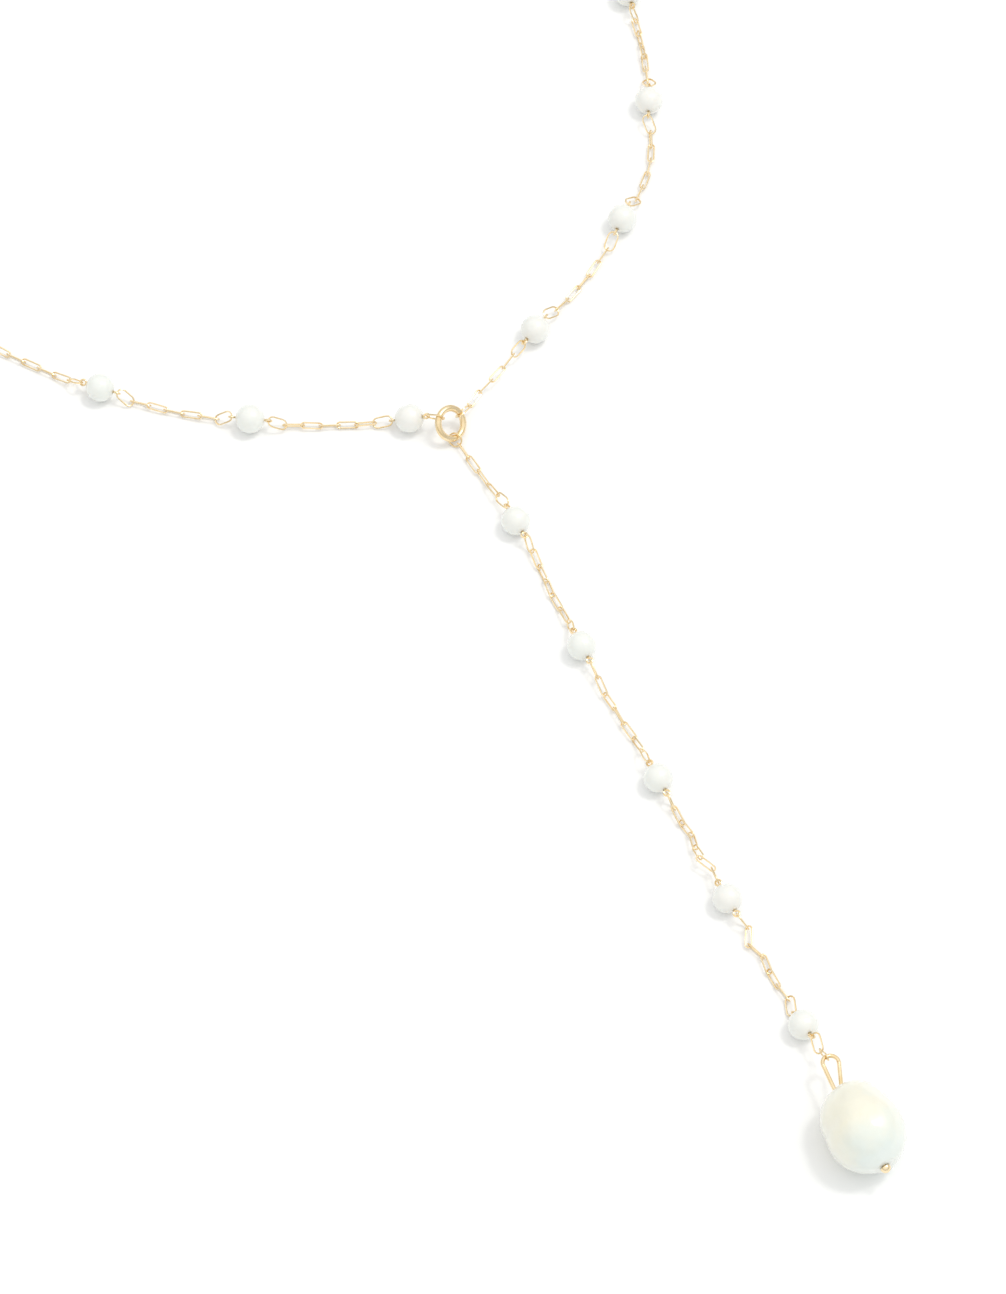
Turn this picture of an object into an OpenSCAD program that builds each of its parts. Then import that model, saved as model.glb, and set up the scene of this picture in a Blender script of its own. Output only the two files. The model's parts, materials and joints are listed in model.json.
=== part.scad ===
// Lariat necklace: a chain of pearls closed by a ring, with a drop pearl on a tail.
// It lies on a flat surface at Z = 0. The origin is the middle of the neck loop.

/* [Pearls] */
// Diameter of a small pearl
pearl_d = 4; // [3.4:0.1:5]
// Drilled hole through a small pearl
pearl_bore = 0.7; // [0.5:0.05:0.9]

/* [Chain] */
// Outer length of a chain link
link_len = 3.22; // [2.8:0.01:3.8]
// Outer width of a chain link
link_w = 1.05; // [0.95:0.05:1.3]
// Outer length of the oval link beside each pearl
oval_len = 3.02; // [2.7:0.01:3.6]
// Outer width of the oval link beside each pearl
oval_w = 1.65; // [1.4:0.05:2]
// Outer width of the links that pass round a thick wire
wide_w = 1.85; // [1.7:0.05:2.2]
// Outer length of the link that carries the drop
hanger_len = 3.82; // [3.1:0.01:4.2]
// Outer width of the link that carries the drop
hanger_w = 1.25; // [1.15:0.05:1.5]
// Wire of the links and eyes
wire = 0.24; // [0.18:0.01:0.26]
// Wire of the pin through each small pearl
pin_wire = 0.3; // [0.26:0.01:0.36]
// Outer diameter of the eye at each end of a pin
eye_d = 1.1; // [1:0.05:1.4]
// Gap between two linked wires, and between a pin's eye and its pearl
gap = 0.12; // [0.1:0.01:0.14]

/* [Lariat ring] */
// Outer diameter of the ring that joins the three strands
ring_d = 5.15; // [4.8:0.05:5.8]
// Wire of the ring
ring_wire = 0.93; // [0.75:0.01:1.05]
// Outer diameter of the jump ring at the top of the tail
jump_d = 2.15; // [2:0.05:2.4]

/* [Drop] */
// Length of the drop pearl along its hole
drop_len = 12.4; // [10:0.1:15]
// Width of the drop pearl across its hole
drop_w = 10.2; // [9:0.1:13]
// Wire of the bail
bail_wire = 0.56; // [0.45:0.01:0.65]
// Outer width of the bail
bail_w = 2.7; // [2.4:0.05:3.2]
// Length of the bail that shows above the drop
bail_len = 5.2; // [4.2:0.1:5.8]
// Diameter of the pin through the drop
drop_pin_d = 0.6; // [0.5:0.05:0.8]
// Diameter of the pin's head
head_d = 1.4; // [1.2:0.05:1.8]

/* [Clasp] */
// Outer length of the clasp
clasp_len = 9; // [8:0.1:11]
// Outer width of the clasp
clasp_w = 4; // [3.6:0.1:4.8]
// Wire of the clasp
clasp_wire = 1; // [0.8:0.05:1.1]
// Outer diameter of the ring that the clasp hooks
clasp_ring_d = 4; // [3.7:0.1:4.6]
// Wire of that ring
clasp_ring_wire = 0.6; // [0.5:0.05:0.7]

/* [Hidden] */
$fn = 48;

gold = [0.86, 0.72, 0.42];
white = [0.93, 0.94, 0.91];

// Where the ring, the pearls and the drop lie on the surface: the chosen points of the route.
ring_at = [37.8, -60.8];
right_route = [[49.4, -45.1], [61.7, -26.5], [65.7, -6.2], [62.9, 12.9], [54.5, 33],
               [40, 49.5], [21.5, 60.5], [0, 65], [-21.5, 62.5]];
left_route = [[32.1, -59.7], [10.2, -59.8], [-10.6, -54.7], [-30, -45], [-48.5, -33.5],
              [-61.5, -16], [-66, 5.5], [-62, 27], [-50.5, 45.5]];
tail_route = [[46.7, -76.2], [55.5, -95.8], [65.5, -116], [74.3, -133.9], [83.7, -152.3]];
drop_at = [90.5, -168.3];
// Length of a whole repeat of chain, pearl to pearl, that the route was chosen for
route_repeat = 22.54;

// Each small pearl: its share of pearl_d, how far its hole rises along the strand in degrees,
// and the rolls of the eyes where the strand comes in and goes out.
right_pearls = [
    [1, 0, -62, 90], [1.01, 0, -85, 85], [1, 0, -75, 55], [0.98, 0, -30, 95], [1, 0, 105, 95],
    [1.02, 0, 110, 95], [0.99, 0, 105, 100], [1, 0, 105, 105], [1.01, 0, 100, 95]];
left_pearls = [
    [1, -21, 38, 90], [1.01, 0, -75, 90], [0.99, 0, 90, 0], [1, 0, 0, 100], [1.02, 0, 100, 90],
    [0.98, 0, 95, 100], [1, 0, 90, 105], [1.01, 0, 85, 105], [0.99, 0, 85, 75]];
tail_pearls = [
    [1.01, 0, -50, -20], [1, 0, -20, 0], [0.99, 0, 10, 0], [1, 0, 0, -5], [1.01, 24, -60, 130]];

// The rolls are degrees from facing this way.
facing = [0, -0.5, 0.87];

// How the chain lies between two pearls. Height 0 is a link's lying height and height 1 the
// middle of a pearl. A side step is a share of link_w, left of the way along the strand.
// Columns: heights of the joints, side steps of the joints, rolls of the links.
plain_lie = [
    [0.05, 0, 0, 0, 0, 0.05],
    [0, 0, 0, 0, 0, 0],
    [10, 95, 5, 95, 5, 95, 10]];
right_lies = [
    [[0.3, 0.05, 0, 0, 0.2, 0.2], [-0.2, -0.4, -0.5, -0.5, -0.4, -0.2], [0, 90, 20, 100, -15, 90, 0]],
    [[0.1, 0, 0, 0, 0, 0.05], [-0.7, -1.1, -1.4, -1.4, -1.1, -0.6], [-15, 90, 15, 90, 0, 105, 20]],
    [[0.05, 0, 0.1, 0, 0, 0.1], [-0.1, -0.2, -0.3, -0.3, -0.2, -0.1], [-10, 85, -15, 55, 120, 0, 65]]];
left_lies = [
    [[0.05, 0, 0, 0, 0.1, 0.15], [0.1, 0.2, 0.2, 0.2, 0.1, 0], [0, 60, -5, 90, 20, -75, 15]],
    [[0.1, 0.1, 0, 0, 0.1, 0.05], [0, 0.1, 0.2, 0.2, 0.1, 0], [0, 85, 0, 90, 10, 85, 0]],
    [[0.3, 0, 0, 0, 0, 0.3], [0, 0, 0, 0, 0, 0], [75, 0, 90, 0, 90, -5, 70]]];
tail_lies = [
    [[0.25, 0, 0, 0, 0, 0.2], [0.25, 0.2, 0.15, 0, 0.15, 0.2], [60, -10, 50, -40, 25, -45, 65]],
    [[0.5, 0.15, 0.15, 0.1, 0, 0.5], [-0.05, -0.2, -0.05, 0, 0.2, 0.2], [85, -25, 40, 105, -15, 45, 115]],
    [[0.2, 0, 0.1, 0.4, 1, 0.8], [0.1, 0.1, 0.35, -0.1, -0.4, 0.25], [85, -30, 35, -40, 30, -20, 90]],
    [[0.3, 0, 0, 0, 0, 0.05], [0.55, -0.3, 0.35, 0.1, 0.1, 0.3], [90, 0, 80, -30, 30, 90, 25]]];
// The same for the stretches that start at the lariat ring, that close the loop and that carry the drop.
ring_right_lie = [[0.92, 0.98, 0.9, 0.95, 1], [0, 0.1, 0, -0.1, 0], [110, 18, 92, -15, 95, 35]];
ring_left_lie = [[], [], [107]];
ring_tail_lie = [[0, 0, 0.05, 0.15, 0.55], [0, 0, 0, 0, 0], [30, 100, 0, 65, 130, 35]];
clasp_lie = [
    [0.4, 0.25, 0, 0.4, 0.55, 0.25, 0.2, 0.05, 0.2],
    [0, 0, 0, 0, 0, 0, 0, 0, 0],
    [25, 125, 60, 0, 66, 11, 100, 40, 115, 25]];
drop_lie = [[1.65], [0], [30, 60]];
// Roll and way out of the ring where the three strands hold it
ring_normal = unit([0.588, -0.4045, 0.7]);
ring_ways = [[0.648, 0.754, -0.108], [-0.735, 0.095, 0.672], [0.28, -0.71, -0.64]];
// Height of the ring's centre above where its wire would touch the surface
ring_lift = 0.45;

// Height of the lowest links above the surface
lie_gap = 0.08;

// Sizes that follow from the ones above
lie_z = link_w / 2 + lie_gap;
mid_z = pearl_d / 2;

function unit(v) = v / norm(v);
function at_height(share) = lie_z + share * (mid_z - lie_z);
function total(list, i = 0) = i < len(list) ? list[i] + total(list, i + 1) : 0;
function upto(list, k) = k > 0 ? list[k - 1] + upto(list, k - 1) : 0;

// A link is [length between its two arc centres, radius of its arcs, wire].
function link_of(len, w, wire) = [len - w, (w - wire) / 2, wire];
chain_link = link_of(link_len, link_w, wire);
oval_link = link_of(oval_len, oval_w, wire);
hanger_link = link_of(hanger_len, hanger_w, wire);
jump_link = link_of(jump_d, jump_d, wire);
clasp_link = link_of(clasp_len, clasp_w, clasp_wire);
clasp_ring_link = link_of(clasp_ring_d, clasp_ring_d, clasp_ring_wire);
wide_link = link_of(link_len, wide_w, wire);

// A hook is what a stretch starts or ends on: [centre, arc radius, wire, normal, way out].
// Half the distance between the wire centres of two linked pieces
function half_reach(a, b) = (a[2] + b[2]) / 4 + gap / 2;
function pitch(links, k, before, after) =
    links[k][0] + 2 * links[k][1]
    - half_reach(k > 0 ? links[k - 1] : before, links[k])
    - half_reach(links[k], k < len(links) - 1 ? links[k + 1] : after);

// Direction that a piece's plane faces, turned by roll about its own axis
function side_of(axis) = unit(cross(axis, facing));
function normal_of(axis, roll) = cos(roll) * cross(side_of(axis), axis) + sin(roll) * side_of(axis);
// Where two linked pieces hold each other, seen from the middle of both
function hold_way(n1, n2, axis) =
    let (w = cross(n1, n2))
    unit(w * axis < 0 ? -w : w);

// Every link of a stretch between two hooks, as [centre, axis, normal, link]
function stretch(from, to, links, lie) =
    let (
        n = len(links),
        hf = half_reach(from, links[0]),
        ht = half_reach(links[n - 1], to),
        first = from[0] + (from[1] - hf) * from[4],
        last = to[0] + (to[1] - ht) * to[4],
        span = [last.x - first.x, last.y - first.y],
        ahead = unit(span),
        left = [-ahead.y, ahead.x],
        z = concat([first.z], [for (h = lie[0]) at_height(h)], [last.z]),
        s = concat([0], [for (v = lie[1]) v * link_w], [0]),
        steps = [for (k = [0:n - 1])
            sqrt(max(0.01, pow(pitch(links, k, from, to), 2) - pow(z[k + 1] - z[k], 2)
                - pow(s[k + 1] - s[k], 2)))],
        pull = norm(span) / total(steps),
        joints = [for (k = [0:n])
            let (p = [first.x, first.y] + ahead * pull * upto(steps, k) + left * s[k])
            [p.x, p.y, z[k]]],
        axes = [for (k = [0:n - 1]) unit(joints[k + 1] - joints[k])],
        normals = [for (k = [0:n - 1]) normal_of(axes[k], lie[2][k])],
        ways = [for (k = [0:n])
            k == 0 ? hold_way(from[3], normals[0], axes[0])
            : k == n ? hold_way(normals[n - 1], to[3], axes[n - 1])
            : hold_way(normals[k - 1], normals[k], axes[k - 1] + axes[k])])
    [for (k = [0:n - 1])
        let (
            r = links[k][1],
            p = k == 0 ? from[0] + (from[1] + r - 2 * hf) * ways[0]
                : joints[k] + (r - half_reach(links[k - 1], links[k])) * ways[k],
            q = k == n - 1 ? to[0] - (to[1] + r - 2 * ht) * ways[n]
                : joints[k + 1] - (r - half_reach(links[k], links[k + 1])) * ways[k + 1],
            a = links[k][0] > 0 ? unit(q - p) : axes[k])
        [(p + q) / 2, a, unit(normals[k] - (normals[k] * a) * a), links[k]]];

// Frame with its X along the axis and its Z along the normal
function frame_of(c, a, n) =
    let (w = cross(n, a))
    [[a.x, w.x, n.x, c.x], [a.y, w.y, n.y, c.y], [a.z, w.z, n.z, c.z], [0, 0, 0, 1]];

// A pearl is [centre, way of its hole, diameter, roll of the eye in, roll of the eye out].
function route_scale() =
    (2 * eye_reach(pearl_d) + 5 * pitch([chain_link, chain_link, chain_link], 1)
     + 2 * sqrt(pow(pitch([chain_link, oval_link, chain_link], 1), 2) - pow(mid_z - lie_z, 2)))
    / route_repeat;
function eye_at(d) = sqrt(pow(d / 2, 2) - pow(pearl_bore / 2, 2))
    + sqrt(pow(eye_d / 2 + gap, 2) - pow(pearl_bore / 2, 2));
function eye_reach(d) = eye_at(d) + (eye_d - wire) / 2 - (wire + gap) / 2;
function scaled(p) = ring_at + (p - ring_at) * route_scale();
function pearls_of(route, table, start, finish) =
    [for (i = [0:len(route) - 1])
        let (
            here = scaled(route[i]),
            back = unit(here - (i > 0 ? scaled(route[i - 1]) : start)),
            on = unit((i < len(route) - 1 ? scaled(route[i + 1]) : finish) - here),
            flat = unit(back + on),
            d = pearl_d * table[i][0],
            rise = table[i][1])
        [[here.x, here.y, d / 2], [cos(rise) * flat.x, cos(rise) * flat.y, sin(rise)], d,
         table[i][2], table[i][3]]];
// The hook at a pearl: way is 1 where the strand goes out and -1 where it comes in
function pearl_hook(pearl, way) =
    [pearl[0] + way * eye_at(pearl[2]) * pearl[1], (eye_d - wire) / 2, wire,
     normal_of(pearl[1], pearl[way > 0 ? 4 : 3]), way * pearl[1]];

// Lariat ring
ring_r = (ring_d - ring_wire) / 2;
ring_tilt = sqrt(1 - pow(ring_normal.z, 2));
ring_centre = [ring_at.x, ring_at.y, ring_r * ring_tilt + ring_wire / 2 + ring_lift];
function in_ring(v) = unit(v - (v * ring_normal) * ring_normal);
function ring_hook(i) = [ring_centre, ring_r, ring_wire, ring_normal, in_ring(ring_ways[i])];

right_row = pearls_of(right_route, right_pearls, ring_at, scaled(left_route[8]));
left_row = pearls_of(left_route, left_pearls, ring_at, scaled(right_route[8]));
tail_row = pearls_of(tail_route, tail_pearls, ring_at, scaled(drop_at));

// Drop pearl: its hole is level and its lowest point touches the surface
drop_way = unit([0.456, -0.89, 0]);
drop_r = drop_w / 2;
drop_centre = let (p = scaled(drop_at)) [p.x, p.y, drop_r];
bail_way = unit([-0.2, 0.975, -0.08]);
bail_r = (bail_w - bail_wire) / 2;
// The bail's legs, the foot that they stand on and how deep it sits in the hole
leg_gap = 0.2;
leg_off = (bail_wire + leg_gap) / 2;
foot_d = 2 * leg_off + bail_wire + leg_gap;
foot_in = 0.2;
foot_h = 0.9;
mouth = drop_centre - drop_len / 2 * drop_way;
bail_centre = mouth + (bail_len - bail_w / 2) * bail_way;
leg_run = bail_len - bail_w / 2 + foot_in + foot_h / 2;
leg_slant = asin(bail_r / norm([leg_run, leg_off]));
leg_turn = leg_slant - atan(leg_off / leg_run);
// The solder where a leg meets the bail's arc is this much thicker than the wire
solder = 0.04;
drop_hook = [bail_centre, bail_r, bail_wire, normal_of(bail_way, 12), bail_way];

function between(row, i, lies) =
    stretch(pearl_hook(row[i], 1), pearl_hook(row[i + 1], -1),
        concat([oval_link], [for (k = [1:5]) chain_link], [oval_link]),
        i < len(lies) ? lies[i] : plain_lie);
function strand(row, lies) = [for (i = [0:len(row) - 2]) each between(row, i, lies)];
closing = stretch(pearl_hook(right_row[8], 1), pearl_hook(left_row[8], 1),
    [oval_link, chain_link, chain_link, wide_link, clasp_ring_link, clasp_link, wide_link,
        chain_link, chain_link, oval_link],
    clasp_lie);
ring_to_right = stretch(ring_hook(0), pearl_hook(right_row[0], -1),
    concat([wide_link], [for (k = [1:4]) chain_link], [oval_link]), ring_right_lie);
ring_to_left = stretch(ring_hook(1), pearl_hook(left_row[0], -1), [oval_link], ring_left_lie);
ring_to_tail = stretch(ring_hook(2), pearl_hook(tail_row[0], -1),
    concat([jump_link], [for (k = [1:4]) chain_link], [oval_link]), ring_tail_lie);
tail_to_drop = stretch(pearl_hook(tail_row[4], 1), drop_hook, [oval_link, hanger_link], drop_lie);

// A link of round wire: two straight sides and two half rings
module wire_link(l) {
    for (s = [-1, 1]) {
        translate([-l[0] / 2, s * l[1], 0])
            rotate([0, 90, 0])
                cylinder(d = l[2], h = l[0]);
        translate([s * l[0] / 2, 0, 0])
            rotate([0, 0, -s * 90])
                rotate_extrude(angle = 180)
                    translate([l[1], 0])
                        circle(d = l[2]);
    }
}

module wire_ring(d, w) {
    rotate_extrude()
        translate([(d - w) / 2, 0])
            circle(d = w);
}

module links(items) {
    color(gold)
        for (item = items)
            multmatrix(frame_of(item[0], item[1], item[2]))
                wire_link(item[3]);
}

module lariat_ring() {
    color(gold)
        translate(ring_centre)
            rotate([0, acos(ring_normal.z), atan2(ring_normal.y, ring_normal.x)])
                wire_ring(ring_d, ring_wire);
}

module ring_at_joint(item, d) {
    color(gold)
        multmatrix(frame_of(item[0], item[1], item[2]))
            wire_ring(d, item[3][2]);
}

// A ball with a hole through it, turned about the hole
module drilled_ball(d, bore) {
    rotate_extrude()
        intersection() {
            circle(d = d);
            translate([bore / 2, -d / 2])
                square(d);
        }
}

module pearl(p) {
    color(white)
        multmatrix(frame_of(p[0], p[1], normal_of(p[1], 0)))
            rotate([0, 90, 0])
                drilled_ball(p[2], pearl_bore);
}

// A pin through a pearl with an eye at each end
module pearl_pin(p) {
    reach = eye_at(p[2]);
    color(gold)
        multmatrix(frame_of(p[0], p[1], normal_of(p[1], 0))) {
            rotate([0, 90, 0])
                cylinder(d = pin_wire, h = 2 * (reach - (eye_d - wire) / 2), center = true);
            for (s = [-1, 1])
                translate([s * reach, 0, 0])
                    rotate([p[s > 0 ? 4 : 3], 0, 0])
                        wire_ring(eye_d, wire);
        }
}

module pins(row) {
    for (p = row)
        pearl_pin(p);
}

// The drop is a hull of balls. Columns: which end the ball reaches, share of drop_len that it stays
// short of that end, shares of drop_w across and up, share of drop_w that it is wide and share of
// drop_len that it is long.
drop_balls = [
    [-1, 0, 0.06, -0.02, 0.8, 0.62],
    [-1, 0.06, -0.09, -0.07, 0.71, 0.66],
    [-1, 0.12, 0.02, 0, 1, 0.88],
    [1, 0, 0.06, -0.15, 0.6, 0.9],
    [1, 0.12, -0.05, -0.01, 0.81, 0.86]];

module drop_frame() {
    multmatrix(frame_of(drop_centre, drop_way, [0, 0, 1]))
        rotate([0, 90, 0])
            children();
}

module drop_pearl() {
    color(white)
        drop_frame()
            difference() {
                hull()
                    for (b = drop_balls)
                        translate([
                            -b[3] * drop_w,
                            b[2] * drop_w,
                            b[0] * drop_len * (0.5 - b[1] - b[5] / 2)])
                            scale([b[4] * drop_w, b[4] * drop_w, b[5] * drop_len])
                                sphere(d = 1);
                cylinder(d = drop_pin_d + 2 * gap, h = 2 * drop_len, center = true);
                translate([0, 0, -drop_len])
                    cylinder(d = foot_d + 2 * gap, h = drop_len / 2 + foot_in + foot_h + gap);
            }
}

// Bail: an arc and two legs that close towards the drop's hole, on a foot that sits in the hole
module bail() {
    multmatrix(frame_of(bail_centre, bail_way, drop_hook[3])) {
        rotate([0, 0, -90 - leg_turn])
            rotate_extrude(angle = 180 + 2 * leg_turn)
                translate([bail_r, 0])
                    circle(d = bail_wire);
        for (s = [-1, 1])
            translate(bail_r * [-sin(leg_turn), s * cos(leg_turn), 0]) {
                sphere(d = bail_wire + solder);
                rotate([0, 0, 180 + s * leg_turn])
                    rotate([0, 90, 0])
                        cylinder(d = bail_wire, h = norm([leg_run, leg_off, 0]) * cos(leg_slant));
            }
    }
}

module drop_pin() {
    color(gold) {
        bail();
        drop_frame() {
            translate([0, 0, foot_in - drop_len / 2]) {
                cylinder(d = foot_d, h = foot_h);
                cylinder(d = drop_pin_d, h = drop_len - foot_in + 2 * gap);
            }
            translate([0, 0, drop_len / 2 + gap])
                rotate_extrude()
                    intersection() {
                        circle(d = head_d);
                        square(head_d);
                    }
        }
    }
}

module clasp() {
    color(gold)
        multmatrix(frame_of(closing[5][0], closing[5][1], closing[5][2]))
            wire_link(clasp_link);
}

right_links = concat(ring_to_right, strand(right_row, right_lies), [for (k = [0:3]) closing[k]]);
left_links = concat(ring_to_left, strand(left_row, left_lies), [for (k = [6:9]) closing[k]]);
tail_links = concat([for (k = [1:5]) ring_to_tail[k]], strand(tail_row, tail_lies), tail_to_drop);

lariat_ring();
ring_at_joint(ring_to_tail[0], jump_d);  // tail_jump_ring
links(right_links);  // right_chain
links(left_links);  // left_chain
links(tail_links);  // tail_chain
pins(right_row);  // right_pins
pins(left_row);  // left_pins
pins(tail_row);  // tail_pins
clasp();
ring_at_joint(closing[4], clasp_ring_d);  // clasp_ring
drop_pearl();
drop_pin();
for (i = [1:9]) {
    pearl(right_row[i - 1]);
    pearl(left_row[i - 1]);
}
for (i = [1:5]) {
    pearl(tail_row[i - 1]);
}
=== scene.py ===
"""Lariat necklace: the gold, the pearls and the light around the packed construction."""

import json
import math

import bmesh
import bpy
import numpy as np
from mathutils import Matrix, Vector, noise

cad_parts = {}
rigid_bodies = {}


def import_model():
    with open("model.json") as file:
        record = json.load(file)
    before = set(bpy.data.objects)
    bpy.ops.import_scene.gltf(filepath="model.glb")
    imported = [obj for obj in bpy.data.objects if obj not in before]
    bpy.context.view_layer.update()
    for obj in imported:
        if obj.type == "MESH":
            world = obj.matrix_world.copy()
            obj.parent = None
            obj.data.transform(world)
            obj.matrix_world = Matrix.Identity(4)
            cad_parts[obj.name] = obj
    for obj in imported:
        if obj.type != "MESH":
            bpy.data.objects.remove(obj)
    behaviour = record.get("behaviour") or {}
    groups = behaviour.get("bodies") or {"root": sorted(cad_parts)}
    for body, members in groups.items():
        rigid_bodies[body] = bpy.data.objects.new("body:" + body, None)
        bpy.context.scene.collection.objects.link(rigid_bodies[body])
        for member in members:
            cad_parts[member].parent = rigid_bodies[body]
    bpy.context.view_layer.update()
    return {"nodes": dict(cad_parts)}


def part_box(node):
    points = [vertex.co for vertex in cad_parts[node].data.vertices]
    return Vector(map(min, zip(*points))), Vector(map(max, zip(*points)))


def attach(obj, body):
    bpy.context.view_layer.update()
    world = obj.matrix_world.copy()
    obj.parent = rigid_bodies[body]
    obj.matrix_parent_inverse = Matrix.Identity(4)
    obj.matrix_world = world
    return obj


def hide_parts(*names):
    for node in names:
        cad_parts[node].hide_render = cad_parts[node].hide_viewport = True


bl_info = {
    "name": "Lariat Necklace",
    "version": (1, 0, 0),
    "blender": (4, 5, 0),
    "location": "View3D > Sidebar > Lariat",
    "description": "Dresses a lariat necklace of gold links and pearls",
    "category": "Object",
}

MM = 0.001
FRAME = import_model()

CHAIN_NODES = ("right_chain", "left_chain", "tail_chain")
PIN_NODES = ("right_pins", "left_pins", "tail_pins")
RING_NODES = ("lariat_ring", "tail_jump_ring", "clasp_ring")
PEARL_NODES = tuple(
    f"{row}_pearl_{i + 1}"
    for row, count in (("right", 9), ("left", 9), ("tail", 5))
    for i in range(count)
)
# Edges that turn more than this stay crisp
CREASE = math.radians(40)
# Points closer than this are one point, in the packed meshes and in turned or swept ones
PACKED_TOUCH = 0.00001 * MM
TURNED_TOUCH = 0.0001 * MM
SWEPT_TOUCH = 0.001 * MM
# Share of a pin's eye, from its end, that is read to find which way the eye faces
EYE_READ = 0.97
# A pin's eye and the clasp have this many times the steps of a link's end
FINER = 3

# Points of a small pearl beyond this share of its radius are its skin, the rest is its hole
PEARL_SKIN = 0.98
# Lumps on a small pearl: their scale on a ball of radius 1, how far the noise moves on for each
# metre from pearl to pearl, and the value of the noise that leaves the ball as it is
PEARL_LUMPS, PEARL_STEP, PEARL_LEVEL = 1.1, 400, 0.25
# How far the middle of the lip's curve is from the sharp corner, as a share of the lip
LIP_TURN = 0.3

# Way of the drop's hole, from the bail to the head of its pin
DROP_WAY = Vector((0.456, -0.89, 0)).normalized()
# The drop's skin gets no swellings within this many grains of the middle of the hole
DROP_CALM = 8
# Scale and start of the noise that gives the drop's swellings and its dents
DROP_SWELL, DROP_SWELL_START = 230, Vector((3, 1, 7))
DROP_DIMPLE, DROP_DIMPLE_START = 900, Vector((1, 8, 2))
# The drawn-in band: its place along the hole and its breadth in millimetres, and its side
WAIST_AT, WAIST_BROAD, WAIST_SIDE = -1.2, 1.1, Vector((-0.8, -0.42, 0.43))
# The drop's colour goes from cream to cool this way, as a change for each metre, and this weight
# joins that to its clouds
COOL_WAY, COOL_WEIGHT = (70, -60, -20), 0.9
# Strength of each smoothing of the drop's skin, and how often its rebuilt cells are smoothed
SOFTEN, SOFTEN_TIMES = 0.5, 6

WARM_WHITE = (1, 0.985, 0.96)
# Light of the room, from 0 at the horizon and below it to 1 straight above
ROOM_SHADES = [(0.0, 0.62), (0.35, 0.72), (0.6, 1.0), (0.85, 1.1), (1.0, 1.1)]
# What the camera sees behind everything
BACKDROP = (1.3, 1.3, 1.3)
# Half the side of the floor in metres
FLOOR_HALF = 4


def colour_property(name, description, default):
    return bpy.props.FloatVectorProperty(
        name=name, description=description, default=default, subtype="COLOR", size=3, min=0, max=1
    )


class GoldSettings(bpy.types.PropertyGroup):
    """Finish of the plated metal"""

    colour: colour_property("Colour", "Polished gold", (0.93, 0.77, 0.51))
    worn: colour_property("Worn colour", "Gold where it is rubbed or dull", (0.87, 0.67, 0.37))
    roughness: bpy.props.FloatProperty(
        name="Roughness", description="Dullness of the polish", default=0.2, min=0, max=1
    )
    ripple: bpy.props.FloatProperty(
        name="Ripple", description="Strength of the fine hand-finished ripple",
        default=0.12, min=0, max=1,
    )
    ring_steps: bpy.props.IntProperty(
        name="Ring steps", description="Sections around each round ring",
        default=96, min=24, max=256,
    )
    wire_steps: bpy.props.IntProperty(
        name="Wire steps", description="Sections around the wire of a ring",
        default=28, min=8, max=64,
    )
    link_arc_steps: bpy.props.IntProperty(
        name="Link arc steps", description="Sections around each end of a link",
        default=7, min=4, max=24,
    )
    link_wire_steps: bpy.props.IntProperty(
        name="Link wire steps", description="Sections around the wire of a link",
        default=8, min=5, max=24,
    )
    pin: bpy.props.FloatProperty(
        name="Pin", description="Wire of the pin through a small pearl",
        default=0.3 * MM, unit="LENGTH",
    )
    eye: bpy.props.FloatProperty(
        name="Eye", description="Outer diameter of a pin's eye", default=1.1 * MM, unit="LENGTH"
    )


class PearlSettings(bpy.types.PropertyGroup):
    """Shape and finish of the small pearls"""

    body: colour_property("Body", "Body colour of most small pearls", (0.81, 0.83, 0.785))
    blush: colour_property("Blush", "Body colour of the warmer small pearls", (0.835, 0.825, 0.78))
    # Edge: painted shade that the nacre mixes in where a pearl turns from the eye; the same colour
    # also gives the pearls' random bands
    edge: colour_property("Edge", "Colour where a pearl turns away", (0.79, 0.82, 0.77))
    roughness: bpy.props.FloatProperty(
        name="Roughness", description="Softness of the lustre", default=0.34, min=0, max=1
    )
    bore: bpy.props.FloatProperty(
        name="Bore", description="Diameter of the drilled hole",
        default=0.5 * MM, min=0.3 * MM, unit="LENGTH",
    )
    lip: bpy.props.FloatProperty(
        name="Lip", description="Rounding at the mouth of the hole",
        default=0.09 * MM, min=0, unit="LENGTH",
    )
    unevenness: bpy.props.FloatProperty(
        name="Unevenness", description="How far a pearl departs from a ball, as a share of it",
        default=0.012,
    )
    round_steps: bpy.props.IntProperty(
        name="Round steps", description="Sections around the hole", default=48, min=12, max=128
    )
    arc_steps: bpy.props.IntProperty(
        name="Arc steps", description="Sections from one mouth of the hole to the other",
        default=30, min=8, max=96,
    )


class DropSettings(bpy.types.PropertyGroup):
    """Shape and finish of the large baroque pearl"""

    cream: colour_property("Cream", "Colour of the upper left", (0.85, 0.83, 0.7))
    cool: colour_property("Cool", "Colour of the lower right", (0.76, 0.82, 0.78))
    # Edge: painted shade that the nacre mixes in where the drop turns from the eye
    edge: colour_property("Edge", "Colour where the pearl turns away", (0.8, 0.81, 0.74))
    roughness: bpy.props.FloatProperty(
        name="Roughness", description="Softness of the lustre", default=0.2, min=0, max=1
    )
    grain: bpy.props.FloatProperty(
        name="Grain", description="Size of the cells that the skin is rebuilt in",
        default=0.16 * MM, unit="LENGTH",
    )
    swell: bpy.props.FloatProperty(
        name="Swell", description="Height of the long soft swellings",
        default=0.16 * MM, unit="LENGTH",
    )
    nacre: bpy.props.FloatProperty(
        name="Nacre", description="Thickness added all round before the swellings",
        default=0.1 * MM, unit="LENGTH",
    )
    dimple: bpy.props.FloatProperty(
        name="Dimple", description="Depth of the small dents", default=0.035 * MM, unit="LENGTH"
    )
    waist: bpy.props.FloatProperty(
        name="Waist", description="Depth of the band that is drawn in",
        default=0.16 * MM, unit="LENGTH",
    )


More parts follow.
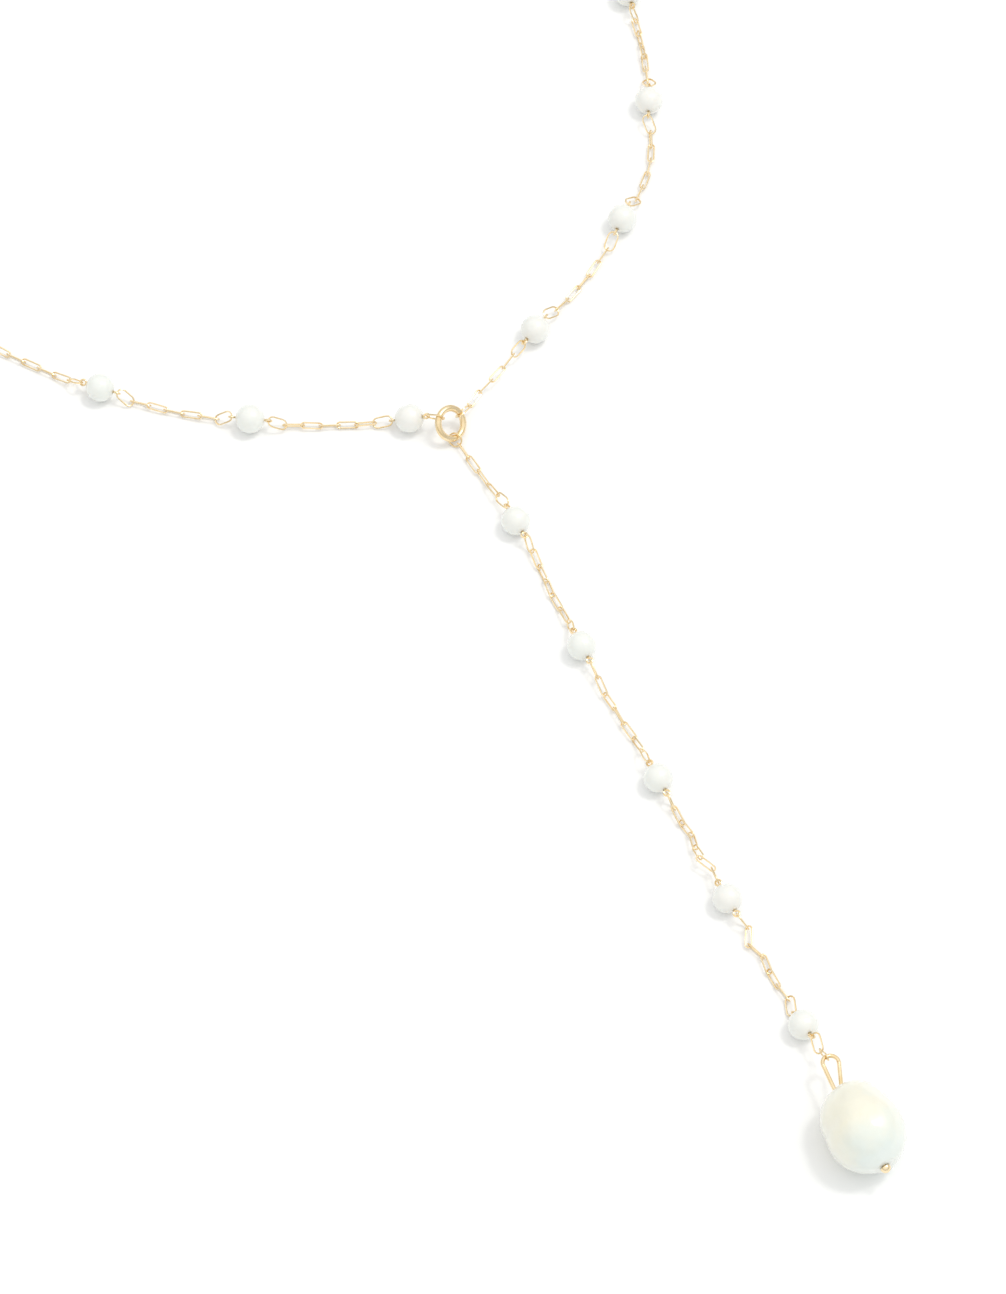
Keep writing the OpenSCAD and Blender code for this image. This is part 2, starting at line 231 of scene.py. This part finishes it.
class StageSettings(bpy.types.PropertyGroup):
    """Camera, floor and light"""

    aim: bpy.props.FloatVectorProperty(
        name="Aim", description="Point of the floor in the middle of the picture",
        default=(45 * MM, -95 * MM, 0), size=3, subtype="XYZ", unit="LENGTH",
    )
    elevation: bpy.props.FloatProperty(
        name="Elevation", description="Height of the camera above the floor, as an angle",
        default=math.radians(60), subtype="ANGLE", unit="ROTATION",
    )
    distance: bpy.props.FloatProperty(
        name="Distance", description="From the camera to the aim", default=743.2 * MM, unit="LENGTH"
    )
    lens: bpy.props.FloatProperty(
        name="Lens", description="Focal length in millimetres", default=153
    )
    floor: colour_property("Floor", "White sheet under the necklace", (0.93, 0.935, 0.93))
    sun_strength: bpy.props.FloatProperty(
        name="Key light", description="Strength of the key light", default=0.48
    )
    sun_size: bpy.props.FloatProperty(
        name="Key size", description="Angle that the key light fills",
        default=math.radians(9), subtype="ANGLE", unit="ROTATION",
    )
    sun_height: bpy.props.FloatProperty(
        name="Key height", description="Height of the key light above the floor, as an angle",
        default=math.radians(69), subtype="ANGLE", unit="ROTATION",
    )
    sun_side: bpy.props.FloatProperty(
        name="Key side",
        description="Way that the key light comes from, from the right towards the back",
        default=math.radians(24), subtype="ANGLE", unit="ROTATION",
    )
    box_strength: bpy.props.FloatProperty(
        name="Soft box", description="Strength of the wide soft light", default=0.32
    )
    box_size: bpy.props.FloatProperty(
        name="Soft box size", description="Angle that the wide soft light fills",
        default=math.radians(24), subtype="ANGLE", unit="ROTATION",
    )
    box_height: bpy.props.FloatProperty(
        name="Soft box height",
        description="Height of the wide soft light above the floor, as an angle",
        default=math.radians(55), subtype="ANGLE", unit="ROTATION",
    )
    box_side: bpy.props.FloatProperty(
        name="Soft box side",
        description="Way that the wide soft light comes from, from the right towards the back",
        default=math.radians(17), subtype="ANGLE", unit="ROTATION",
    )
    room_strength: bpy.props.FloatProperty(
        name="Room light", description="Strength of the light all round", default=1
    )


# Meshes


def welded(node):
    """A construction node's mesh with its loose triangles joined"""
    bm = bmesh.new()
    bm.from_mesh(FRAME["nodes"][node].data)
    bmesh.ops.remove_doubles(bm, verts=bm.verts, dist=PACKED_TOUCH)
    return bm


def middle(points):
    return sum(points, Vector()) / len(points)


def turned(way):
    """Rotation that brings +Z to a direction"""
    return way.to_track_quat("Z", "Y").to_matrix().to_4x4()


def crisp(bm):
    """Smooth faces, with the edges of the real piece kept sharp"""
    for face in bm.faces:
        face.smooth = True
    for edge in bm.edges:
        edge.smooth = len(edge.link_faces) != 2 or edge.calc_face_angle(0) < CREASE


def place(bm, name, material, slot, *nodes):
    """Makes the piece, which stands for the construction nodes named"""
    crisp(bm)
    mesh = bpy.data.meshes.new(name)
    bm.to_mesh(mesh)
    bm.free()
    mesh.materials.append(material)
    piece = bpy.data.objects.new(name, mesh)
    bpy.context.scene.collection.objects.link(piece)
    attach(piece, "root")
    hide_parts(*nodes)
    return piece


def spun(bm, profile, steps):
    """Turns a closed profile, given as radius and height, about Z"""
    verts = [bm.verts.new((r, 0, z)) for r, z in profile]
    edges = [bm.edges.new((a, b)) for a, b in zip(verts, verts[1:] + verts[:1])]
    bmesh.ops.spin(
        bm, geom=verts + edges, cent=(0, 0, 0), axis=(0, 0, 1), angle=2 * math.pi, steps=steps,
        use_merge=True, use_normal_flip=False,
    )
    bmesh.ops.remove_doubles(bm, verts=bm.verts, dist=TURNED_TOUCH)
    bmesh.ops.recalc_face_normals(bm, faces=bm.faces)


def loose_parts(node):
    """The points of each separate solid of a node"""
    bm = welded(node)
    seen, parts = set(), []
    for start in bm.verts:
        if start in seen:
            continue
        seen.add(start)
        part, edge_of_part = [], [start]
        while edge_of_part:
            vert = edge_of_part.pop()
            part.append(vert.co[:])
            for edge in vert.link_edges:
                other = edge.other_vert(vert)
                if other not in seen:
                    seen.add(other)
                    edge_of_part.append(other)
        parts.append(np.array(part))
    bm.free()
    return parts


def lay_of(points):
    """Matrix of the points' own frame, X their longest way and Z their shortest, and their sizes"""
    axes = np.linalg.eigh(np.cov(points.T))[1][:, ::-1]
    axes[:, 2] = np.cross(axes[:, 0], axes[:, 1])
    local = points @ axes
    low, high = local.min(0), local.max(0)
    centre = axes @ ((low + high) / 2)
    matrix = Matrix.Translation(Vector(centre)) @ Matrix(axes.tolist()).to_4x4()
    return matrix, (high - low).tolist()


def add_part(bm, mesh, matrix):
    """Adds a mesh to bm in the place that the matrix gives"""
    mesh.transform(matrix)
    bm.from_mesh(mesh)
    bpy.data.meshes.remove(mesh)


def mesh_of(bm, name):
    mesh = bpy.data.meshes.new(name)
    bm.to_mesh(mesh)
    bm.free()
    return mesh


def link_mesh(length, width, wire, arc_steps, wire_steps):
    """A link of round wire: two straight sides and two half rings, in the XY plane"""
    bm = bmesh.new()
    reach, radius = (length - width) / 2, (width - wire) / 2
    start = bmesh.ops.create_circle(
        bm, segments=wire_steps, radius=wire / 2,
        matrix=Matrix.Translation((reach, -radius, 0)) @ Matrix.Rotation(math.pi / 2, 4, "Y"),
    )["verts"]
    geom = start + list({e for v in start for e in v.link_edges})
    for side in (1, -1):
        geom = bmesh.ops.spin(
            bm, geom=geom, cent=(side * reach, 0, 0), axis=(0, 0, 1), angle=math.pi, steps=arc_steps
        )["geom_last"]
        edges = [g for g in geom if isinstance(g, bmesh.types.BMEdge)]
        geom = bmesh.ops.extrude_edge_only(bm, edges=edges)["geom"]
        verts = [g for g in geom if isinstance(g, bmesh.types.BMVert)]
        bmesh.ops.translate(bm, vec=(-side * 2 * reach, 0, 0), verts=verts)
        geom = [g for g in geom if not isinstance(g, bmesh.types.BMFace)]
    bmesh.ops.remove_doubles(bm, verts=bm.verts, dist=SWEPT_TOUCH)
    bmesh.ops.recalc_face_normals(bm, faces=bm.faces)
    return mesh_of(bm, "link")


def ring_mesh(outer, wire, ring_steps, wire_steps):
    """A round ring of round wire, in the XY plane"""
    bm = bmesh.new()
    turn = [2 * math.pi * k / wire_steps for k in range(wire_steps)]
    middle_r = (outer - wire) / 2
    section = [(middle_r + wire / 2 * math.cos(a), wire / 2 * math.sin(a)) for a in turn]
    spun(bm, section, ring_steps)
    return mesh_of(bm, "ring")


def hole_of(node):
    """Centre, way of the hole and radius of a drilled ball, read from its node"""
    bm = welded(node)
    bm.normal_update()
    low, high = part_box(node)
    centre = (low + high) / 2
    inward = [f for f in bm.faces if f.normal @ (f.calc_center_median() - centre) < 0]
    wall = {v for f in inward for v in f.verts}
    first = min(wall, key=lambda v: v.co[:]).co - centre
    ends = [[v.co for v in wall if ((v.co - centre) @ first > 0) == side] for side in (True, False)]
    a, b = (middle(points) for points in ends)
    centre = (a + b) / 2
    radius = max((v.co - centre).length for v in bm.verts)
    bm.free()
    return centre, (a - b).normalized(), radius


# Materials


def new_material(name):
    material = bpy.data.materials.new(name)
    material.use_nodes = True
    nodes = material.node_tree.nodes
    return material, nodes, material.node_tree.links, nodes["Principled BSDF"]


def noise_at(nodes, links, scale, detail=2.0, stretch=None, roughness=0.5):
    """Noise on Object coordinates, with cells of about 1 / scale metres"""
    coords = nodes.new("ShaderNodeTexCoord")
    texture = nodes.new("ShaderNodeTexNoise")
    texture.inputs["Scale"].default_value = scale
    texture.inputs["Detail"].default_value = detail
    texture.inputs["Roughness"].default_value = roughness
    source = coords.outputs["Object"]
    if stretch:
        mapping = nodes.new("ShaderNodeMapping")
        mapping.inputs["Scale"].default_value = stretch
        links.new(source, mapping.inputs["Vector"])
        source = mapping.outputs["Vector"]
    links.new(source, texture.inputs["Vector"])
    return texture.outputs["Fac"]


def ramp(nodes, links, source, stops):
    """Maps 0..1 through positions and greys"""
    band = nodes.new("ShaderNodeValToRGB")
    while len(band.color_ramp.elements) < len(stops):
        band.color_ramp.elements.new(0.5)
    for element, (at, grey) in zip(band.color_ramp.elements, stops):
        element.position = at
        element.color = (grey, grey, grey, 1)
    links.new(source, band.inputs["Fac"])
    return band.outputs["Color"]


def mixed(nodes, links, share, first, second):
    """Mix of two colours, each a socket or three numbers"""
    mix = nodes.new("ShaderNodeMix")
    mix.data_type = "RGBA"
    if isinstance(share, (int, float)):
        mix.inputs["Factor"].default_value = share
    else:
        links.new(share, mix.inputs["Factor"])
    for socket, value in ((mix.inputs[6], first), (mix.inputs[7], second)):
        if isinstance(value, bpy.types.NodeSocket):
            links.new(value, socket)
        else:
            socket.default_value = (*value, 1)
    return mix.outputs[2]


def bumped(nodes, links, shader, height, strength, distance):
    bump = nodes.new("ShaderNodeBump")
    bump.inputs["Strength"].default_value = strength
    bump.inputs["Distance"].default_value = distance
    links.new(height, bump.inputs["Height"])
    links.new(bump.outputs["Normal"], shader.inputs["Normal"])


# Mask of the painted shade at a pearl's rim
def painted_rim_shade_mask(nodes, power):
    """0 where the surface faces the eye and 1 at its edge"""
    weight = nodes.new("ShaderNodeLayerWeight")
    weight.inputs["Blend"].default_value = power
    return weight.outputs["Facing"]


def ranged(nodes, links, source, low, high):
    """Maps 0..1 to low..high"""
    span = nodes.new("ShaderNodeMapRange")
    span.inputs["To Min"].default_value = low
    span.inputs["To Max"].default_value = high
    links.new(source, span.inputs["Value"])
    return span.outputs["Result"]


def gold():
    """Plated gold: warm polish, rubbed dull in places, with a fine ripple"""
    found = bpy.data.materials.get("plated_gold")
    if found:
        return found
    look = bpy.context.scene.lariat_gold
    material, nodes, links, shader = new_material("plated_gold")
    cloud = noise_at(nodes, links, scale=900, detail=3)
    patches = ramp(nodes, links, cloud, [(0.35, 0), (0.7, 1)])
    links.new(mixed(nodes, links, patches, look.colour, look.worn), shader.inputs["Base Color"])
    streaks = noise_at(nodes, links, scale=5000, detail=2, stretch=(1, 0.35, 0.7))
    dull = ranged(nodes, links, streaks, low=look.roughness * 0.6, high=look.roughness * 1.5)
    links.new(dull, shader.inputs["Roughness"])
    shader.inputs["Metallic"].default_value = 1
    bumped(nodes, links, shader, streaks, strength=look.ripple, distance=0.02 * MM)
    return material


def nacre(name, tint, edge, roughness):
    """Nacre: a soft lustre over a body colour that tint(nodes, links) gives, with painted shade:
    the base colour goes to the edge colour where the surface turns from the eye
    """
    material, nodes, links, shader = new_material(name)
    body = tint(nodes, links)
    # Painted shade: towards the rim, where the surface turns from the eye, the base colour goes to
    # the edge colour
    rim = ramp(nodes, links, painted_rim_shade_mask(nodes, power=0.35), [(0.15, 0), (0.95, 1)])
    links.new(mixed(nodes, links, rim, body, edge), shader.inputs["Base Color"])
    skin = noise_at(nodes, links, scale=1800, detail=4, roughness=0.6)
    dull = ranged(nodes, links, skin, low=roughness * 0.8, high=roughness * 1.25)
    links.new(dull, shader.inputs["Roughness"])
    shader.inputs["IOR"].default_value = 1.55
    shader.inputs["Subsurface Weight"].default_value = 0.45
    shader.inputs["Subsurface Radius"].default_value = (1, 0.93, 0.86)
    shader.inputs["Subsurface Scale"].default_value = 1.1 * MM
    shader.inputs["Coat Weight"].default_value = 0.7
    shader.inputs["Coat Roughness"].default_value = 0.14
    shader.inputs["Coat IOR"].default_value = 1.6
    shader.inputs["Sheen Weight"].default_value = 0.12
    shader.inputs["Sheen Roughness"].default_value = 0.4
    bumped(nodes, links, shader, skin, strength=0.08, distance=0.02 * MM)
    return material


# Operators, one for each piece or group of like pieces


class LARIAT_OT_stage(bpy.types.Operator):
    """Sets the camera, the white floor and the light"""

    bl_idname = "lariat.stage"
    bl_label = "Camera, floor and light"

    def execute(self, context):
        look = context.scene.lariat_stage
        self.set_camera(context, look)
        self.lay_floor(context, look)
        self.light(context, look)
        context.scene.view_settings.view_transform = "Standard"
        return {"FINISHED"}

    def set_camera(self, context, look):
        aim = Vector(look.aim)
        back = Vector((0, -math.cos(look.elevation), math.sin(look.elevation)))
        lens = bpy.data.cameras.new("camera")
        lens.lens = look.lens
        lens.clip_start = 0.01
        lens.clip_end = 20
        camera = bpy.data.objects.new("camera", lens)
        camera.location = aim + look.distance * back
        camera.rotation_euler = (-back).to_track_quat("-Z", "Y").to_euler()
        context.scene.collection.objects.link(camera)
        context.scene.camera = camera

    def lay_floor(self, context, look):
        bm = bmesh.new()
        bmesh.ops.create_grid(bm, x_segments=1, y_segments=1, size=FLOOR_HALF)
        mesh = bpy.data.meshes.new("floor")
        bm.to_mesh(mesh)
        bm.free()
        material, nodes, links, shader = new_material("white_sheet")
        fibre = noise_at(nodes, links, scale=700, detail=4)
        paler = tuple(min(1.0, c * 1.01) for c in look.floor)
        links.new(mixed(nodes, links, fibre, look.floor, paler), shader.inputs["Base Color"])
        shader.inputs["Roughness"].default_value = 0.9
        shader.inputs["Specular IOR Level"].default_value = 0.1
        mesh.materials.append(material)
        floor = bpy.data.objects.new("floor", mesh)
        context.scene.collection.objects.link(floor)

    def far_light(self, name, strength, size, height, side):
        """A warm white light from far off, at a height above the floor and a way round it"""
        light = bpy.data.lights.new(name, "SUN")
        light.energy = strength
        light.angle = size
        light.color = WARM_WHITE
        lamp = bpy.data.objects.new(name, light)
        flat = math.cos(height)
        way = Vector((flat * math.cos(side), flat * math.sin(side), math.sin(height)))
        lamp.rotation_euler = way.to_track_quat("Z", "Y").to_euler()
        bpy.context.scene.collection.objects.link(lamp)

    def light(self, context, look):
        self.far_light("key", look.sun_strength, look.sun_size, look.sun_height, look.sun_side)
        self.far_light("soft_box", look.box_strength, look.box_size, look.box_height, look.box_side)
        world = bpy.data.worlds.new("room")
        context.scene.world = world
        world.use_nodes = True
        nodes, links = world.node_tree.nodes, world.node_tree.links
        back = nodes["Background"]
        back.inputs["Strength"].default_value = look.room_strength
        coords = nodes.new("ShaderNodeTexCoord")
        split = nodes.new("ShaderNodeSeparateXYZ")
        links.new(coords.outputs["Generated"], split.inputs["Vector"])
        shade = ramp(nodes, links, split.outputs["Z"], ROOM_SHADES)
        paths = nodes.new("ShaderNodeLightPath")
        seen = mixed(nodes, links, paths.outputs["Is Camera Ray"], shade, BACKDROP)
        links.new(seen, back.inputs["Color"])


class LARIAT_OT_rings(bpy.types.Operator):
    """Makes the thick lariat ring, the tail's jump ring and the ring of the clasp"""

    bl_idname = "lariat.rings"
    bl_label = "Round rings"

    def execute(self, context):
        look = context.scene.lariat_gold
        for node in RING_NODES:
            (points,) = loose_parts(node)
            matrix, size = lay_of(points)
            ring = ring_mesh(max(size), min(size), look.ring_steps, look.wire_steps)
            bm = bmesh.new()
            add_part(bm, ring, matrix)
            place(bm, node + "_gold", gold(), "gold", node)
        return {"FINISHED"}


class LARIAT_OT_chains(bpy.types.Operator):
    """Makes the links of the three stretches of cable chain, and the clasp"""

    bl_idname = "lariat.chains"
    bl_label = "Chains and clasp"

    def execute(self, context):
        look = context.scene.lariat_gold
        for node in (*CHAIN_NODES, "clasp"):
            finer = FINER if node == "clasp" else 1
            bm = bmesh.new()
            for points in loose_parts(node):
                matrix, size = lay_of(points)
                link = link_mesh(*size, finer * look.link_arc_steps, finer * look.link_wire_steps)
                add_part(bm, link, matrix)
            place(bm, node + "_gold", gold(), "gold", node)
        return {"FINISHED"}


class LARIAT_OT_pins(bpy.types.Operator):
    """Makes the eye pins through the small pearls"""

    bl_idname = "lariat.pins"
    bl_label = "Eye pins"

    def execute(self, context):
        look = context.scene.lariat_gold
        for node in PIN_NODES:
            bm = bmesh.new()
            for points in loose_parts(node):
                self.add_pin(bm, look, points)
            place(bm, node + "_gold", gold(), "gold", node)
        return {"FINISHED"}

    def add_pin(self, bm, look, points):
        matrix, size = lay_of(points)
        local = (points - np.array(matrix.translation)) @ np.array(matrix.to_3x3())
        for side in (1, -1):
            end = points[side * local[:, 0] > size[0] / 2 - look.eye * EYE_READ]
            eye_lay, eye_size = lay_of(end)
            way = matrix.to_3x3() @ Vector((side, 0, 0))
            centre = matrix.translation + way * float(size[0] / 2 - look.eye / 2)
            flat = eye_lay.to_3x3().col[2]
            steps = FINER * look.link_arc_steps
            ring = ring_mesh(look.eye, eye_size[2], steps, look.link_wire_steps)
            across = flat.cross(way).normalized()
            turn = Matrix((way, across, way.cross(across))).transposed().to_4x4()
            add_part(bm, ring, Matrix.Translation(centre) @ turn)
        bmesh.ops.create_cone(
            bm, cap_ends=True, segments=look.wire_steps // 2,
            radius1=look.pin / 2, radius2=look.pin / 2, depth=size[0] - 2 * look.eye + look.pin / 2,
            matrix=matrix @ Matrix.Rotation(math.pi / 2, 4, "Y"),
        )


class LARIAT_OT_pearls(bpy.types.Operator):
    """Makes the small drilled pearls, each a little uneven in its own way"""

    bl_idname = "lariat.pearls"
    bl_label = "Small pearls"

    def execute(self, context):
        look = context.scene.lariat_pearl

        def tint(nodes, links):
            by_place = noise_at(nodes, links, scale=45, detail=0)
            each = ramp(nodes, links, by_place, [(0.4, 0), (0.65, 1)])
            bands = noise_at(nodes, links, scale=420, detail=2)
            whole = mixed(nodes, links, each, look.body, look.blush)
            share = ranged(nodes, links, bands, low=0, high=0.35)
            return mixed(nodes, links, share, whole, look.edge)

        material = nacre("small_pearl_nacre", tint, look.edge, look.roughness)
        for node in PEARL_NODES:
            centre, way, radius = hole_of(node)
            bm = bmesh.new()
            spun(bm, self.profile(look, radius), look.round_steps)
            bmesh.ops.transform(bm, matrix=turned(way), verts=bm.verts)
            for vert in bm.verts:
                reach = vert.co.length / radius
                if reach > PEARL_SKIN:
                    lump = noise.noise(vert.co * PEARL_LUMPS / radius + centre * PEARL_STEP)
                    vert.co *= 1 + look.unevenness * (lump - PEARL_LEVEL)
            bmesh.ops.translate(bm, vec=centre, verts=bm.verts)
            place(bm, node + "_nacre", material, "pearl", node)
        return {"FINISHED"}

    def profile(self, look, radius):
        """Half section: up the wall of the hole, over its lip and round the ball"""
        bore = look.bore / 2
        start = math.asin((bore + look.lip) / radius)
        mouth = math.sqrt(radius ** 2 - (bore + look.lip) ** 2)
        wall = [(bore, share * (mouth - look.lip)) for share in (-1, -0.5, 0, 0.5, 1)]
        rim = [(bore + look.lip * LIP_TURN, mouth - look.lip * LIP_TURN)]
        steps = look.arc_steps
        angles = [start + (math.pi - 2 * start) * k / steps for k in range(steps + 1)]
        arc = [(radius * math.sin(a), radius * math.cos(a)) for a in angles]
        return wall + rim + arc + [(r, -z) for r, z in rim]


class LARIAT_OT_drop(bpy.types.Operator):
    """Makes the large baroque pearl, its skin uneven and its colour going from cream to cool"""

    bl_idname = "lariat.drop"
    bl_label = "Drop pearl"

    def execute(self, context):
        look = context.scene.lariat_drop
        low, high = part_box("drop_pearl")
        centre = (low + high) / 2

        def tint(nodes, links):
            coords = nodes.new("ShaderNodeTexCoord")
            mapping = nodes.new("ShaderNodeMapping")
            mapping.inputs["Location"].default_value = -centre
            links.new(coords.outputs["Object"], mapping.inputs["Vector"])
            lean = nodes.new("ShaderNodeVectorMath")
            lean.operation = "DOT_PRODUCT"
            lean.inputs[1].default_value = COOL_WAY
            links.new(mapping.outputs["Vector"], lean.inputs[0])
            across = nodes.new("ShaderNodeMath")
            across.operation = "MULTIPLY_ADD"
            across.inputs[1].default_value = COOL_WEIGHT
            cloud = noise_at(nodes, links, scale=260, detail=3)
            links.new(lean.outputs["Value"], across.inputs[0])
            links.new(cloud, across.inputs[2])
            share = ramp(nodes, links, across.outputs["Value"], [(0.3, 0), (0.85, 1)])
            return mixed(nodes, links, share, look.cream, look.cool)

        material = nacre("drop_nacre", tint, look.edge, look.roughness)
        bm = self.skin(look)
        for vert in bm.verts:
            out = vert.co - centre
            along = out @ DROP_WAY
            reach = (out - along * DROP_WAY).length
            if reach < look.grain * DROP_CALM:
                continue
            step = look.nacre + look.swell * noise.noise(out * DROP_SWELL + DROP_SWELL_START)
            step += look.dimple * noise.noise(out * DROP_DIMPLE + DROP_DIMPLE_START)
            band = math.exp(-((along / MM - WAIST_AT) / WAIST_BROAD) ** 2)
            facing = max(0.0, out.normalized() @ WAIST_SIDE)
            step -= look.waist * band * facing
            vert.co += vert.normal * min(step, 2 * look.nacre)
        bmesh.ops.smooth_vert(
            bm, verts=bm.verts, factor=SOFTEN, use_axis_x=True, use_axis_y=True, use_axis_z=True
        )
        # Nothing of the skin goes under the floor
        for vert in bm.verts:
            vert.co.z = max(vert.co.z, 0)
        place(bm, "drop_nacre", material, "drop_pearl", "drop_pearl")
        place(welded("drop_pin"), "drop_pin_gold", gold(), "gold", "drop_pin")
        return {"FINISHED"}

    def skin(self, look):
        """The construction's drop, rebuilt in even cells and smoothed"""
        bm = welded("drop_pearl")
        mesh = bpy.data.meshes.new("drop_start")
        bm.to_mesh(mesh)
        bm.free()
        shape = bpy.data.objects.new("drop_start", mesh)
        bpy.context.scene.collection.objects.link(shape)
        cells = shape.modifiers.new("cells", "REMESH")
        cells.mode = "VOXEL"
        cells.voxel_size = look.grain
        soft = shape.modifiers.new("soft", "SMOOTH")
        soft.factor = SOFTEN
        soft.iterations = SOFTEN_TIMES
        bpy.context.view_layer.update()
        dressed = shape.evaluated_get(bpy.context.evaluated_depsgraph_get())
        bm = bmesh.new()
        bm.from_mesh(dressed.to_mesh())
        dressed.to_mesh_clear()
        bpy.data.objects.remove(shape)
        bpy.data.meshes.remove(mesh)
        bm.normal_update()
        return bm


class LARIAT_PT_panel(bpy.types.Panel):
    """The necklace's pieces and their settings"""

    bl_idname = "LARIAT_PT_panel"
    bl_label = "Lariat Necklace"
    bl_space_type = "VIEW_3D"
    bl_region_type = "UI"
    bl_category = "Lariat"

    def draw(self, context):
        for operator in OPERATORS:
            self.layout.operator(operator.bl_idname)
        for name, group in SETTINGS.items():
            box = self.layout.box()
            box.label(text=group.__doc__)
            for key in group.__annotations__:
                box.prop(getattr(context.scene, name), key)


SETTINGS = {
    "lariat_gold": GoldSettings,
    "lariat_pearl": PearlSettings,
    "lariat_drop": DropSettings,
    "lariat_stage": StageSettings,
}
OPERATORS = (
    LARIAT_OT_stage,
    LARIAT_OT_rings,
    LARIAT_OT_chains,
    LARIAT_OT_pins,
    LARIAT_OT_pearls,
    LARIAT_OT_drop,
)


def register():
    for cls in (*SETTINGS.values(), *OPERATORS, LARIAT_PT_panel):
        bpy.utils.register_class(cls)
    for name, group in SETTINGS.items():
        setattr(bpy.types.Scene, name, bpy.props.PointerProperty(type=group))


def unregister():
    for name in SETTINGS:
        delattr(bpy.types.Scene, name)
    for cls in reversed((*SETTINGS.values(), *OPERATORS, LARIAT_PT_panel)):
        bpy.utils.unregister_class(cls)


def empty_scene():
    """Removes what a new file starts with"""
    for thing in list(bpy.data.objects):
        if thing.name in ("Cube", "Light", "Camera"):
            bpy.data.objects.remove(thing)


def main():
    empty_scene()
    register()
    bpy.ops.lariat.stage()
    bpy.ops.lariat.rings()
    bpy.ops.lariat.chains()
    bpy.ops.lariat.pins()
    bpy.ops.lariat.pearls()
    bpy.ops.lariat.drop()


if __name__ == "__main__":
    main()
